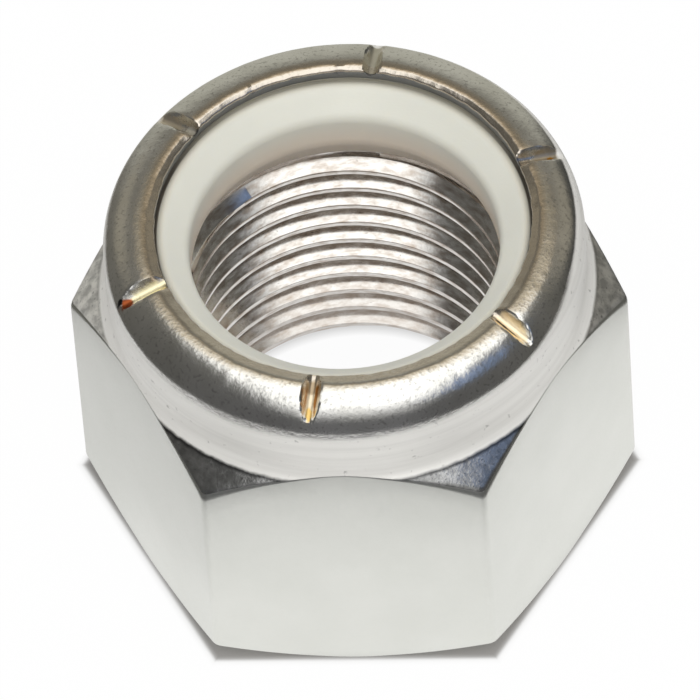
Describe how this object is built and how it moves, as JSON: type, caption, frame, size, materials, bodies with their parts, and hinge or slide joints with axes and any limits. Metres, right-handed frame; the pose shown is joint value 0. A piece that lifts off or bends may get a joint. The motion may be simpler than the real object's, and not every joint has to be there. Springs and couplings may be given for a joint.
{
  "type": "nylon insert lock nut",
  "caption": "Hexagonal lock nut with a threaded bore and a rolled, staked collar that holds a nylon ring, which grips the bolt thread so that it can't work loose.",
  "frame": {"origin": "centre of the flat bearing face, on the thread axis", "axes": "+Z along the thread axis from the bearing face to the nylon collar; two flats face -Y and +Y and two corners lie on the X axis"},
  "size_m": [0.031, 0.027, 0.0228],
  "materials": {
    "steel": "satin stainless steel, bright flats and worn, darker turned shoulder and collar",
    "nylon": "smooth cream-white natural nylon with a soft sheen"
  },
  "bodies": {
    "root": {"nut_body": "steel", "nylon_insert": "nylon"}
  },
  "joints": []
}
